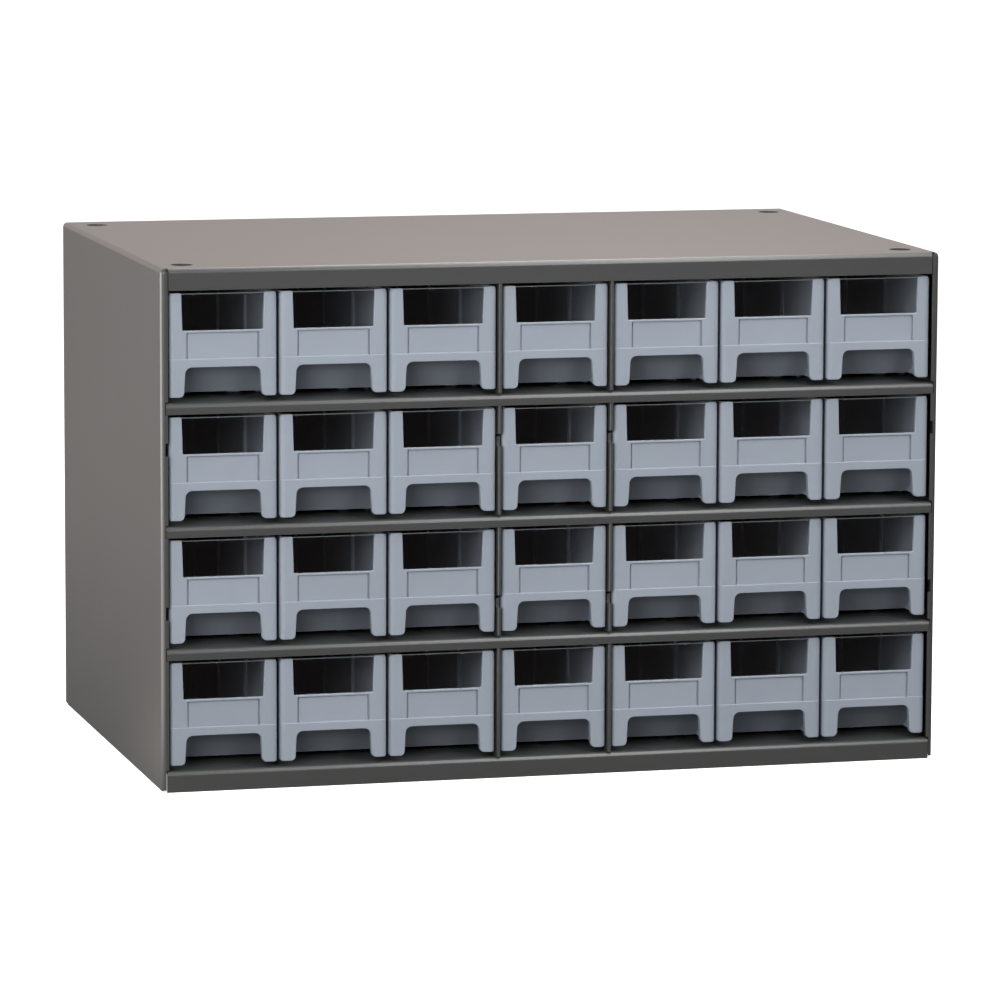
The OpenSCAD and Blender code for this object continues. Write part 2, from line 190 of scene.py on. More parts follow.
@dataclass
class Outline:
    """A closed outline: its points and the unit normals that point out of it, both (n, 2)."""

    points: np.ndarray
    normals: np.ndarray

    @staticmethod
    def rounded(corners: list[Triple], steps: int = 5) -> "Outline":
        """A polygon with round corners.

        At a corner C with unit directions a and b to its neighbours and the angle t between them,
        an arc of radius r has its centre at C + (a + b) / |a + b| * r / sin(t / 2). It runs from
        C + a * r / tan(t / 2) to C + b * r / tan(t / 2) and turns by 180 degrees less t. Its
        spokes point out of the polygon where the corner is convex, and into it otherwise.

        Args:
            corners: the sharp corners, anticlockwise, each with the radius that rounds it.
            steps: the chords in each arc.

        Returns:
            The outline, with steps + 1 points to a corner.
        """
        given = np.array(corners, float)
        c, r = given[:, :2], given[:, 2:]
        a, b = np.roll(c, 1, 0) - c, np.roll(c, -1, 0) - c
        a /= np.linalg.norm(a, axis=1, keepdims=True)
        b /= np.linalg.norm(b, axis=1, keepdims=True)
        half = np.arccos(np.clip((a * b).sum(1), -1, 1))[:, None] / 2
        middle = (a + b) / np.linalg.norm(a + b, axis=1, keepdims=True)
        centre = c + middle * r / np.sin(half)
        first = (c + a * r / np.tan(half) - centre) / r
        last = (c + b * r / np.tan(half) - centre) / r
        turn = np.pi - 2 * half
        s = np.linspace(0, 1, steps + 1)[None, :]
        share = np.sin((1 - s) * turn) / np.sin(turn), np.sin(s * turn) / np.sin(turn)
        spokes = share[0][..., None] * first[:, None] + share[1][..., None] * last[:, None]
        points = centre[:, None] + r[:, None] * spokes
        convex = np.sign(b[:, 0] * a[:, 1] - b[:, 1] * a[:, 0])[:, None, None]
        return Outline(points.reshape(-1, 2), (spokes * convex).reshape(-1, 2))

    @staticmethod
    def box(low: Pair, high: Pair, radius: float = 0.3, steps: int = 2) -> "Outline":
        """A rectangle with round corners.

        Args:
            low: its low corner.
            high: its high corner.
            radius: the radius of its corners.
            steps: the chords in each corner.

        Returns:
            The outline.
        """
        corners = [low, (high[0], low[1]), high, (low[0], high[1])]
        return Outline.rounded([(*corner, radius) for corner in corners], steps)


def mirrored(corners: list[Triple]) -> list[Triple]:
    """The same corners on the other side of the middle, in the order that goes on round."""
    return [(-x, z, radius) for x, z, radius in reversed(corners)]


def loft(rings: np.ndarray) -> Surface:
    """Joins rings of points into a closed shell.

    Ring j's point i is joined to its next point and to ring j + 1, so the quads form a grid in
    (i, j), and a flat face closes the first and the last ring.

    Args:
        rings: an array of (rings, points, 3).

    Returns:
        The shell.
    """
    count, width, _ = rings.shape
    i, j = np.arange(width), np.arange(count - 1)[:, None]
    here, after = j * width + i, j * width + (i + 1) % width
    quads = np.stack([here, after, after + width, here + width], -1).reshape(-1)
    ends = np.concatenate([i[::-1], (count - 1) * width + i])
    sizes = np.concatenate([np.full((count - 1) * width, 4), [width, width]])
    return Surface(rings.reshape(-1, 3), np.concatenate([quads, ends]), sizes)


def edge_profile(radius: float, steps: int = 3) -> tuple[np.ndarray, np.ndarray]:
    """A quarter round edge, as rings at turns a from 0 to 90 degrees.

    A ring stands in from the outline by radius * (1 - sin a), at a depth of radius * (1 - cos a).

    Args:
        radius: the edge's radius, or 0 for a sharp edge, which is one ring.
        steps: the chords in the quarter round.

    Returns:
        How far in the rings stand, and how deep.
    """
    turn = np.radians(np.linspace(0, 90, steps + 1)) if radius else np.radians([90])
    return radius * (1 - np.sin(turn)), radius * (1 - np.cos(turn))


def plate(
    outline: Outline, plane: Plane, near: float, far: float, edge: float = 0.0, far_edge: float = 0.0
) -> Surface:
    """A plate of an outline's shape with round edges.

    A point of a ring is outline point - normal * inset, at the ring's depth, where inset and depth
    follow the near edge's quarter round and then the far edge's.

    Args:
        outline: its shape.
        plane: the plane that the outline is drawn in.
        near: where the plate starts on the axis through the plane.
        far: where it ends.
        edge: radius of the edges at near.
        far_edge: radius of the edges at far.

    Returns:
        The closed shell.
    """
    inset, depth = edge_profile(edge)
    far_inset, far_depth = edge_profile(far_edge)
    inset = np.concatenate([inset, far_inset[::-1]])
    depth = np.concatenate([near + depth, far - far_depth[::-1]])
    rings = np.zeros((len(inset), len(outline.points), 3))
    across, up, through = plane.value
    rings[..., [across, up]] = outline.points - outline.normals * inset[:, None, None]
    rings[..., through] = depth[:, None]
    return loft(rings)


def sweep(path: Outline, profile: Outline) -> Surface:
    """Carries a closed profile along an open path in plan.

    A point is path point - path normal * the profile's first value, at the height of the second.

    Args:
        path: the outer line of a wall in plan.
        profile: the wall's section as (distance inwards, height).

    Returns:
        The wall as a closed shell.
    """
    inwards, height = profile.points[:, 0], profile.points[:, 1]
    rings = np.zeros((len(path.points), len(inwards), 3))
    rings[..., :2] = path.points[:, None] - path.normals[:, None] * inwards[:, None]
    rings[..., 2] = height
    return loft(rings)


# ------------------------------------------------------------------ materials


def linear(colour: str) -> tuple[float, float, float, float]:
    """Turns an sRGB colour into linear light.

    Args:
        colour: its red, green and blue in hex, such as "#8A8F94".

    Returns:
        Linear red, green and blue, and an alpha of 1.
    """
    part = np.array([int(colour[i : i + 2], 16) for i in (1, 3, 5)]) / 255
    value = np.where(part <= 0.04045, part / 12.92, ((part + 0.055) / 1.055) ** 2.4)
    return (*map(float, value), 1.0)


def add(
    tree: bpy.types.NodeTree, kind: str, settings: dict | None = None, inputs: dict | None = None
) -> bpy.types.Node:
    """Adds a node with its settings and links.

    Args:
        tree: the tree that gets the node.
        kind: the node's type, without the words ShaderNode.
        settings: values of the node's own properties.
        inputs: for each socket, by name or number, its value or the output that is linked to it.

    Returns:
        The node.
    """
    node = tree.nodes.new("ShaderNode" + kind)
    for name, value in (settings or {}).items():
        setattr(node, name, value)
    for name, value in (inputs or {}).items():
        if isinstance(value, bpy.types.NodeSocket):
            tree.links.new(value, node.inputs[name])
        else:
            node.inputs[name].default_value = value
    return node


def new_tree(name: str) -> tuple[bpy.types.Material, bpy.types.NodeTree]:
    """Makes a material with an empty node tree.

    Args:
        name: the material's name.

    Returns:
        The material and its tree.
    """
    material = bpy.data.materials.new(name)
    material.use_nodes = True
    material.node_tree.nodes.clear()
    return material, material.node_tree


def per_metre(size_mm: float) -> float:
    """Scale of a pattern on Object coordinates whose features are size_mm apart."""
    return 1 / (size_mm * MM)


@dataclass(frozen=True)
class BakedEnamel:
    """Baked enamel on sheet steel: a dark warm grey film, smooth, with a low gloss.

    The film levels itself as it bakes and leaves a faint orange peel, which softens reflections.
    """

    colour: str = "#454645"
    shade: str = "#494A49"
    roughness: float = 0.29
    refraction: float = 1.5
    cloud_mm: float = 60.0
    peel_mm: float = 1.6
    peel_depth_mm: float = 0.02
    peel_strength: float = 0.12

    def material(self) -> bpy.types.Material:
        """Makes the enamel: two near greys in soft clouds, under the orange peel.

        Returns:
            The material.
        """
        material, tree = new_tree("baked_enamel_on_steel")
        place = add(tree, "TexCoord").outputs["Object"]
        cloud = add(
            tree, "TexNoise", inputs={"Vector": place, "Scale": per_metre(self.cloud_mm), "Detail": 2.0}
        )
        colour = add(
            tree, "Mix", {"data_type": "RGBA"},
            {"Factor": cloud.outputs["Fac"], MIX_A: linear(self.colour), MIX_B: linear(self.shade)},
        )
        peel = add(
            tree, "TexNoise", inputs={"Vector": place, "Scale": per_metre(self.peel_mm), "Detail": 1.0}
        )
        bump = add(
            tree, "Bump",
            inputs={
                "Height": peel.outputs["Fac"], "Strength": self.peel_strength,
                "Distance": self.peel_depth_mm * MM,
            },
        )
        shader = add(
            tree, "BsdfPrincipled",
            inputs={
                "Base Color": colour.outputs[MIX_RESULT], "Roughness": self.roughness,
                "IOR": self.refraction, "Normal": bump.outputs["Normal"],
            },
        )
        add(tree, "OutputMaterial", inputs={"Surface": shader.outputs[0]})
        return material


@dataclass(frozen=True)
class MouldedPolystyrene:
    """Injection moulded impact polystyrene: blue-grey, satin, with a fine eroded mould texture.

    Its colour varies slowly where the melt flowed, and a little from one drawer to the next. The
    grain is drawn coarser than real so that it shows.
    """

    colour: str = "#9AA2AD"
    shade: str = "#949CA7"
    roughness: float = 0.42
    refraction: float = 1.55
    flow_mm: float = 18.0
    grain_mm: float = 0.7
    grain_depth_mm: float = 0.02
    grain_strength: float = 0.1
    tone_spread: float = 0.015

    def material(self) -> bpy.types.Material:
        """Makes the plastic. Each drawer's attribute called tone lightens or darkens it.

        Returns:
            The material.
        """
        material, tree = new_tree("moulded_polystyrene")
        place = add(tree, "TexCoord").outputs["Object"]
        flow = add(
            tree, "TexNoise", inputs={"Vector": place, "Scale": per_metre(self.flow_mm), "Detail": 2.0}
        )
        colour = add(
            tree, "Mix", {"data_type": "RGBA"},
            {"Factor": flow.outputs["Fac"], MIX_A: linear(self.colour), MIX_B: linear(self.shade)},
        )
        tone = add(tree, "Attribute", {"attribute_name": "tone"})
        toned = add(
            tree, "HueSaturation",
            inputs={"Value": tone.outputs["Fac"], "Color": colour.outputs[MIX_RESULT]},
        )
        grain = add(
            tree, "TexNoise", inputs={"Vector": place, "Scale": per_metre(self.grain_mm), "Detail": 1.0}
        )
        bump = add(
            tree, "Bump",
            inputs={
                "Height": grain.outputs["Fac"], "Strength": self.grain_strength,
                "Distance": self.grain_depth_mm * MM,
            },
        )
        shader = add(
            tree, "BsdfPrincipled",
            inputs={
                "Base Color": toned.outputs["Color"], "Roughness": self.roughness,
                "IOR": self.refraction, "Normal": bump.outputs["Normal"],
            },
        )
        add(tree, "OutputMaterial", inputs={"Surface": shader.outputs[0]})
        return material


@dataclass(frozen=True)
class ClearStyrene:
    """Clear moulded polystyrene sheet, polished: almost invisible but for its reflections.

    Light from the lamps passes straight through it, so that it reaches the inside of the drawer.
    """

    colour: str = "#EDEEEE"
    roughness: float = 0.03
    refraction: float = 1.55

    def material(self) -> bpy.types.Material:
        """Makes the clear sheet: a clear shader, and plain see-through for shadow rays.

        Returns:
            The material.
        """
        material, tree = new_tree("clear_polystyrene_sheet")
        shader = add(
            tree, "BsdfPrincipled",
            inputs={
                "Base Color": linear(self.colour), "Roughness": self.roughness, "IOR": self.refraction,
                "Transmission Weight": 1.0,
            },
        )
        lamps = add(tree, "LightPath").outputs["Is Shadow Ray"]
        through = add(tree, "BsdfTransparent", inputs={"Color": linear(self.colour)})
        both = add(tree, "MixShader", inputs={0: lamps, 1: shader.outputs[0], 2: through.outputs[0]})
        add(tree, "OutputMaterial", inputs={"Surface": both.outputs[0]})
        return material


@dataclass(frozen=True)
class CutEdge:
    """The sawn edge of the clear sheet: rough, so it scatters light and shows as a pale line."""

    colour: str = "#6E7377"
    roughness: float = 0.6
    refraction: float = 1.55
    saw_mm: float = 1.0
    saw_depth_mm: float = 0.05
    saw_strength: float = 0.3

    def material(self) -> bpy.types.Material:
        """Makes the sawn edge, with the marks that the saw leaves.

        Returns:
            The material.
        """
        material, tree = new_tree("cut_polystyrene_edge")
        place = add(tree, "TexCoord").outputs["Object"]
        saw = add(
            tree, "TexNoise", inputs={"Vector": place, "Scale": per_metre(self.saw_mm), "Detail": 2.0}
        )
        bump = add(
            tree, "Bump",
            inputs={
                "Height": saw.outputs["Fac"], "Strength": self.saw_strength,
                "Distance": self.saw_depth_mm * MM,
            },
        )
        shader = add(
            tree, "BsdfPrincipled",
            inputs={
                "Base Color": linear(self.colour), "Roughness": self.roughness,
                "IOR": self.refraction, "Normal": bump.outputs["Normal"],
            },
        )
        add(tree, "OutputMaterial", inputs={"Surface": shader.outputs[0]})
        return material


# ----------------------------------------------------------------------- case


@dataclass
class SteelCase:
    """The folded sheets of the case, which stay as CAD nodes."""

    nodes: tuple[str, ...] = ("case_wrap", "back_and_base", "shelves", "dividers")
    weld_mm: float = 0.002
    flat_degrees: float = 0.5
    burr_mm: float = 0.16
    burr_steps: int = 2
    enamel: BakedEnamel = BakedEnamel()

    def build(self) -> list[bpy.types.Object]:
        """Paints the sheets and breaks their cut edges, which the guillotine leaves sharp.

        Returns:
            The sheets.
        """
        paint = self.enamel.material()
        sheets = [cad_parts[name] for name in self.nodes]
        for sheet in sheets:
            sheet.data.materials.clear()
            sheet.data.materials.append(paint)
            sheet.data.polygons.foreach_set("use_smooth", np.ones(len(sheet.data.polygons), bool))
            weld = sheet.modifiers.new("weld", "WELD")
            weld.merge_threshold = self.weld_mm * MM
            flat = sheet.modifiers.new("flat_faces", "DECIMATE")
            flat.decimate_type = "DISSOLVE"
            flat.angle_limit = math.radians(self.flat_degrees)
            bevel = sheet.modifiers.new("broken_edges", "BEVEL")
            bevel.width = self.burr_mm * MM
            bevel.segments = self.burr_steps
            bevel.limit_method = "ANGLE"
            bevel.angle_limit = SHARP
            shading = sheet.modifiers.new("even_shading", "WEIGHTED_NORMAL")
            shading.keep_sharp = False
        return sheets


# -------------------------------------------------------------------- drawers


@dataclass
class DrawerMould:
    """One moulded drawer, which all 28 are copies of. Heights are over the shelf it runs on.

    Its width, length and height are those of the CAD drawer, whose stop is its highest point. It
    is made of closed shells, and a lap is how far one of them runs into the next.
    """

    model: str = "drawer_r1_c1"

    # The front: its thickness, its edges, and the corners that another shell hides
    front_t: float = 3.3
    foot: float = 2.9
    band_step: float = 0.5
    side_edge_w: float = 3.5
    side_edge_d: float = 2.8
    side_edge_bends: tuple[float, ...] = (0.0, 0.2, 0.38, 0.54, 0.68, 0.78, 0.86)
    upper_edge_r: float = 0.35
    band_edge_r: float = 0.42
    rear_edge_r: float = 0.2
    top_corner_r: float = 2.2
    hidden_r: float = 0.45
    hidden_lap: float = 0.8

    # The window opening
    window_h: float = 19.9
    window_top_w: float = 44.7
    window_bottom_w: float = 43.5
    window_mouth_r: float = 0.7
    window_corner_r: float = 0.8

    # The sunk panel for a label, with a slot at each end and a ledge over it
    label_h: float = 14.9
    label_w: float = 39.4
    label_d: float = 0.8
    label_edge_r: float = 0.15
    label_lap: float = 0.6
    label_rear_gap: float = 0.1
    slot_w: float = 0.9
    slot_d: float = 0.6
    ledge_h: float = 1.2

    # The rail, the legs and the finger arch between them
    rail_h: float = 4.6
    arch_w: float = 42.0
    arch_top_w: float = 40.4
    arch_r: float = 3.6
    arch_steps: int = 7
    leg_inner_r: float = 2.6
    leg_corner_r: float = 1.4

    # The tub's walls and floor
    tub_inset: float = 0.55
    wall_t: float = 1.5
    wall_lap: float = 0.5
    wall_rim_r: float = 0.5
    wall_foot_r: float = 1.0
    wall_inner_r: float = 0.6
    corner_r: float = 3.0
    corner_steps: int = 8
    floor_z: float = 2.7
    floor_t: float = 1.5
    floor_lap: float = 0.1
    floor_seam_r: float = 0.05
    floor_seam_inset: float = 0.5
    floor_skin: float = 0.02

    # The wall that slopes back over the finger recess
    finger_d: float = 24.5
    roof_d: float = 10.0
    slope_bend_r: float = 3.0
    slope_over_r: float = 4.5
    slope_foot_r: float = 2.0
    slope_floor_lap: float = 3.0
    slope_wall_lap: float = 0.8

    # Runners, ribs and stop
    runner_setback: float = 13.0
    runner_r: float = 0.5
    runner_corner_r: float = 0.6
    runner_lap: float = 0.4
    mid_runner: Pair = (11.05, 17.55)
    side_runner_w: float = 2.4
    rib_h: float = 46.0
    rib_t: float = 1.0
    rib_out: float = 1.1
    rib_gap: float = 1.8
    rib_r: float = 0.2
    stop_w: float = 22.0
    stop_h: float = 3.0
    stop_lap: float = 1.0
    stop_corner_r: float = 1.0
    stop_edge_r: float = 0.3

    plastic: MouldedPolystyrene = MouldedPolystyrene()

    def __post_init__(self) -> None:
        """Takes the outside sizes from the CAD drawer, and the heights that follow from them."""
        low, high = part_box(self.model)
        self.front_w, self.length, height = (high - low) / MM
        self.tub_w = self.front_w - 2 * self.tub_inset
        self.top = height + RUNNER_GAP - self.stop_h
        self.sill = self.top - self.window_h
        self.band_top = self.sill - self.label_h
        self.arch_top = self.band_top - self.rail_h
        self.seam = self.corner_r - self.floor_seam_inset

    def upper_front(self) -> Surface:
        """The frame around the window and the label: two pillars and the strip between them.

        Returns:
            The frame, with its lower ends behind the band.
        """
        half, low, under = self.front_w / 2, self.band_top - self.hidden_lap, self.sill - self.ledge_h
        right = [
            (self.label_w / 2, low, self.hidden_r),
            (half, low, self.hidden_r),
            (half, self.top, self.top_corner_r),
            (self.window_top_w / 2, self.top, self.window_mouth_r),
            (self.window_bottom_w / 2, self.sill, self.window_corner_r),
        ]
        strip = [(side * self.label_w / 2, under, self.window_corner_r) for side in (-1, 1)]
        outline = Outline.rounded(right + mirrored(right) + strip)
        return plate(
            outline, Plane.FRONT, self.band_step, self.front_t, self.upper_edge_r, self.rear_edge_r
        )

    def lower_band(self) -> Surface:
        """The rail with its two legs around the finger arch, which stands proud.

        Returns:
            The band.
        """
        half = self.front_w / 2
        right = [
            (self.arch_w / 2, self.foot, self.leg_inner_r),
            (half, self.foot, self.leg_corner_r),
            (half, self.band_top, self.hidden_r),
        ]
        arch = [(side * self.arch_top_w / 2, self.arch_top, self.arch_r) for side in (-1, 1)]
        outline = Outline.rounded(right + mirrored(right) + arch, self.arch_steps)
        return plate(outline, Plane.FRONT, 0.0, self.front_t, self.band_edge_r, self.rear_edge_r)

    def label_panel(self) -> Surface:
        """The sunk panel that a label would lie on, with a deeper slot at each end.

        Returns:
            A wide sheet at the slots' depth, and the panel on it.
        """
        face, back = self.band_step + self.label_d, self.front_t - self.label_rear_gap
        low, high = self.band_top - self.label_lap, self.sill - self.label_lap
        wide, narrow = self.label_w / 2 + self.label_lap, self.label_w / 2 - self.slot_w
        behind = plate(Outline.box((-wide, low), (wide, high)), Plane.FRONT, face + self.slot_d, back)
        raised = Outline.box((-narrow, low), (narrow, high))
        return Surface.joined([behind, plate(raised, Plane.FRONT, face, back, self.label_edge_r)])

    def front(self) -> Surface:
        """The whole front, with its upright outer edges turned back.

        Over the last W of the width, where t goes from 0 to 1, a point moves back by
        D (1 - sqrt(1 - t^2)) times its share of the way from the back to the face. The faces are
        split first at the shares of W that side_edge_bends lists.

        Returns:
            The front.
        """
        surface = Surface.joined([self.upper_front(), self.lower_band()])
        start = self.front_w / 2 - self.side_edge_w
        bends = start + self.side_edge_w * np.array(self.side_edge_bends)
        surface = surface.cut_across(np.concatenate([-bends, bends]))
        x, y = np.abs(surface.points[:, 0]), surface.points[:, 1]
        turn = np.clip((x - start) / self.side_edge_w, 0, 1)
        drop = self.side_edge_d * (1 - np.sqrt(1 - turn**2))
        surface.points[:, 1] = y + drop * (self.front_t - y) / self.front_t
        return Surface.joined([surface, self.label_panel()])

    def walls(self) -> Surface:
        """Side and rear walls in one sweep, with a round rim and a rounded foot to the floor.

        Returns:
            The walls, from the front along the right, the rear and the left side.
        """
        half, start = self.tub_w / 2, self.front_t - self.wall_lap
        corners = [(half, start), (half, self.length), (-half, self.length), (-half, start)]
        square = Outline.rounded([(*corner, self.corner_r) for corner in corners], self.corner_steps)
        rear = slice(self.corner_steps + 1, 3 * (self.corner_steps + 1))
        path = Outline(
            np.vstack([[half, start], square.points[rear], [-half, start]]),
            np.vstack([[1, 0], square.normals[rear], [-1, 0]]),
        )
        low, high = self.floor_z, self.floor_z + self.floor_t
        section = [
            (0, low, self.wall_foot_r),
            (self.seam, low, self.floor_seam_r),
            (self.seam, high, self.floor_seam_r),
            (self.wall_t, high, self.wall_inner_r),
            (self.wall_t, self.top, self.wall_rim_r),
            (0, self.top, self.wall_rim_r),
        ]
        return sweep(path, Outline.rounded(section, steps=3))

    def floor(self) -> Surface:
        """The floor between the sloping wall and the walls' foot.

        Returns:
            The floor, a skin thinner than the foot so that no two faces coincide.
        """
        side, rear = self.tub_w / 2 - self.seam, self.length - self.seam
        outline = Outline.box(
            (-side - self.floor_lap, self.front_t / 2 + self.finger_d),
            (side + self.floor_lap, rear + self.floor_lap),
        )
        low, high = self.floor_z + self.floor_skin, self.floor_z + self.floor_t - self.floor_skin
        return plate(outline, Plane.PLAN, low, high)

    def slope(self) -> Surface:
        """The wall over the finger recess: level at first, then sloping down to the floor.

        With the slope's unit direction d, its inner face lies a wall's thickness away on the side
        that d's normal points to, and its corners lie where that face meets the level ones. The
        corners at both ends are buried in the front and in the floor, so their radii do not show.

        Returns:
            The wall.
        """
        start, thick = self.front_t / 2, self.wall_t
        bend = np.array([start + self.roof_d, self.arch_top])
        foot = np.array([start + self.finger_d, self.floor_z])
        down = (foot - bend) / np.linalg.norm(foot - bend)
        out = np.array([-down[1], down[0]]) * thick
        over = bend + thick * np.array([(1 - down[0]) / -down[1], 1])
        inner = foot + out + down * (out[1] - self.floor_t) / -down[1]
        end, skin = foot[0] + self.slope_floor_lap, self.floor_skin / 2
        section = [
            (start, self.arch_top, 0.2),
            (*bend, self.slope_bend_r),
            (*foot, self.slope_foot_r),
            (end, foot[1], 0.1),
            (end, foot[1] + self.floor_t - skin, 0.1),
            (inner[0], inner[1] - skin, self.slope_bend_r),
            (*over, self.slope_over_r),
            (start, self.arch_top + thick, 0.3),
        ]
        half = self.tub_w / 2 - self.wall_t + self.slope_wall_lap
        return plate(Outline.rounded(section), Plane.SIDE, -half, half)

    def runners(self) -> list[Surface]:
        """Two runners near the middle and one under each side.

        Returns:
            The four runners.
        """
        half = self.tub_w / 2
        near, far = self.front_t / 2 + self.finger_d + self.runner_setback, self.length - self.corner_r
        right = self.mid_runner, (half - self.side_runner_w, half)
        runners = []
        for left_x, right_x in (*right, *((-b, -a) for a, b in right)):
            rail = Outline.box((left_x, near), (right_x, far), self.runner_corner_r)
            top = self.floor_z + self.runner_lap
            runners.append(plate(rail, Plane.PLAN, RUNNER_GAP, top, self.runner_r))
        return runners

    def ribs(self) -> list[Surface]:
        """Three pairs of ribs on both walls, each of which holds a cross divider.

        Returns:
            The twelve ribs.
        """
        wall, low = self.tub_w / 2 - self.wall_t / 2, self.floor_z + self.floor_t / 2
        inner = self.tub_w / 2 - self.wall_t - self.rib_out
        ribs = []
        for side in (-1, 1):
            ends = sorted((side * wall, side * inner))
            outline = Outline.box((ends[0], low), (ends[1], low + self.rib_h), self.rib_r)
            for quarter in (1, 2, 3):
                for start in (-self.rib_gap / 2 - self.rib_t, self.rib_gap / 2):
                    near = quarter * self.length / 4 + start
                    ribs.append(plate(outline, Plane.FRONT, near, near + self.rib_t))
        return ribs

    def stop(self) -> Surface:
        """The stop on the rear wall, which meets the flange over the row.

        Returns:
            The stop.
        """
        half = self.stop_w / 2
        low, high = self.top - self.stop_lap, self.top + self.stop_h
        outline = Outline.box((-half, low), (half, high), self.stop_corner_r, steps=4)
        near = self.length - self.wall_t
        return plate(outline, Plane.FRONT, near, self.length, self.stop_edge_r, self.stop_edge_r)

    def whole(self) -> Surface:
        """The drawer in its own frame: middle of the front's face, at the shelf."""
        tub = [self.walls(), self.floor(), self.slope(), *self.runners(), *self.ribs(), self.stop()]
        return Surface.joined([self.front(), *tub])

    def build(self) -> list[bpy.types.Object]:
        """Makes the 28 drawers, each at its CAD node's place, with a tone of its own.

        Returns:
            The drawers.
        """
        plastic = self.plastic.material()
        shape = self.whole()
        tones = np.random.default_rng(28).normal(1.0, self.plastic.tone_spread, len(BAYS))
        drawers = []
        for bay, tone in zip(BAYS, tones):
            node = f"drawer_{bay}"
            drawer = make_piece(f"moulded_{node}", shape.moved(drawer_origin(node)), plastic)
            tones_of_points = drawer.data.attributes.new("tone", "FLOAT", "POINT")
            value = np.full(len(drawer.data.vertices), tone, np.float32)
            tones_of_points.data.foreach_set("value", value)
            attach(drawer, node)
            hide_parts(node)
            drawers.append(drawer)
        return drawers


def drawer_origin(node: str) -> np.ndarray:
    """Where a drawer's own frame stands.

    Args:
        node: the drawer's CAD node.

    Returns:
        The middle of its front's face, at the shelf, in millimetres.
    """
    low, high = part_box(node)
    return np.array([(low.x + high.x) / 2, low.y, low.z - RUNNER_GAP * MM]) / MM


def make_piece(name: str, surface: Surface, *materials: bpy.types.Material) -> bpy.types.Object:
    """Makes a smooth object at the origin, with normals that point out of its shells.

    Args:
        name: the piece's name.
        surface: its shape in millimetres.
        materials: its materials.

    Returns:
        The object.
    """
    mesh = surface.to_mesh(name, MM)
    work = bmesh.new()
    work.from_mesh(mesh)
    bmesh.ops.recalc_face_normals(work, faces=work.faces)
    work.to_mesh(mesh)
    work.free()
    mesh.shade_smooth()
    mesh.set_sharp_from_angle(angle=SHARP)
    for material in materials:
        mesh.materials.append(material)
    piece = bpy.data.objects.new(name, mesh)
    bpy.context.scene.collection.objects.link(piece)
    shading = piece.modifiers.new("even_shading", "WEIGHTED_NORMAL")
    shading.keep_sharp = True
    return piece


@dataclass
class ClearWindow:
    """The clear sheet slid into each drawer's front, with the outer size of its CAD node."""

    model: str = "window_r1_c1"
    near: float = 1.4
    far: float = 2.4
    corner_r: float = 0.1
    edge_r: float = 0.05
    rim_h: float = 0.4
    sheet: ClearStyrene = ClearStyrene()
    edge: CutEdge = CutEdge()

    def strip(self, half: float, low: float, high: float) -> Surface:
        """A part of the sheet between two heights, half its width to each side of the middle."""
        outline = Outline.box((-half, low), (half, high), self.corner_r)
        return plate(outline, Plane.FRONT, self.near, self.far, self.edge_r, self.edge_r)

    def build(self) -> list[bpy.types.Object]:
        """Makes the 28 windows: a clear sheet whose topmost strip is the rough cut edge.

        Returns:
            The windows.
        """
        materials = self.sheet.material(), self.edge.material()
        low, high = ((corner / MM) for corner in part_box(self.model))
        origin = drawer_origin(self.model.replace("window", "drawer"))
        half, bottom, top = (high.x - low.x) / 2, low.z - origin[2], high.z - origin[2]
        seam = top - self.rim_h
        clear, rim = self.strip(half, bottom, seam), self.strip(half, seam, top)
        shape = Surface.joined([clear, rim])
        cut = (np.arange(len(shape.sizes)) >= len(clear.sizes)).astype(np.int32)
        windows = []
        for bay in BAYS:
            drawer, node = f"drawer_{bay}", f"window_{bay}"
            window = make_piece(f"clear_{node}", shape.moved(drawer_origin(drawer)), *materials)
            window.data.polygons.foreach_set("material_index", cut)
            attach(window, drawer)
            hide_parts(node)
            windows.append(window)
        return windows


# --------------------------------------------------------------------- studio


def outwards(azimuth: float, elevation: float) -> Vector:
    """Which way a camera or a lamp lies from the cabinet.

    Args:
        azimuth: degrees to the right of the front.
        elevation: degrees over the level.

    Returns:
        The unit direction (sin a cos e, -cos a cos e, sin e).
    """
    a, e = math.radians(azimuth), math.radians(elevation)
    return Vector((math.sin(a) * math.cos(e), -math.cos(a) * math.cos(e), math.sin(e)))


def change(value: bpy.types.NodeSocket, span: Pair, levels: Pair) -> dict:
    """Inputs of a Map Range node that takes a value's span from one level to the other."""
    names = "Value", "From Min", "From Max", "To Min", "To Max"
    return dict(zip(names, (value, *span, *levels)))


@dataclass
class Camera:
    """The photograph's camera, fitted to the corners of the case: turns in degrees, metres."""

    azimuth: float = -14.934
    elevation: float = 7.87
    distance: float = 3.1469
    roll: float = 0.2467
    focal_px: float = 5608.2
    frame_px: float = 1000.0
    sensor_mm: float = 36.0
    shift: Pair = (0.01108, -0.01511)
    sight: float = 50.0

    def build(self) -> list[bpy.types.Object]:
        """Makes the camera. It looks at the middle of the case's box.

        Returns:
            The camera.
        """
        low, high = CAD_BOX
        centre = (low + high) / 2
        a, r = math.radians(self.azimuth), math.radians(self.roll)
        back = outwards(self.azimuth, self.elevation)
        right = Vector((math.cos(a), math.sin(a), 0))
        up = back.cross(right)
        turned = right * math.cos(r) + up * math.sin(r), up * math.cos(r) - right * math.sin(r)
        data = bpy.data.cameras.new("camera")
        data.sensor_width = self.sensor_mm
        data.lens = self.focal_px * self.sensor_mm / self.frame_px
        data.shift_x, data.shift_y = self.shift
        data.clip_end = self.sight
        camera = bpy.data.objects.new("camera", data)
        bpy.context.scene.collection.objects.link(camera)
        axes = Matrix((*turned, back)).transposed().to_4x4()
        camera.matrix_world = Matrix.Translation(centre + back * self.distance) @ axes
        bpy.context.scene.camera = camera
        return [camera]


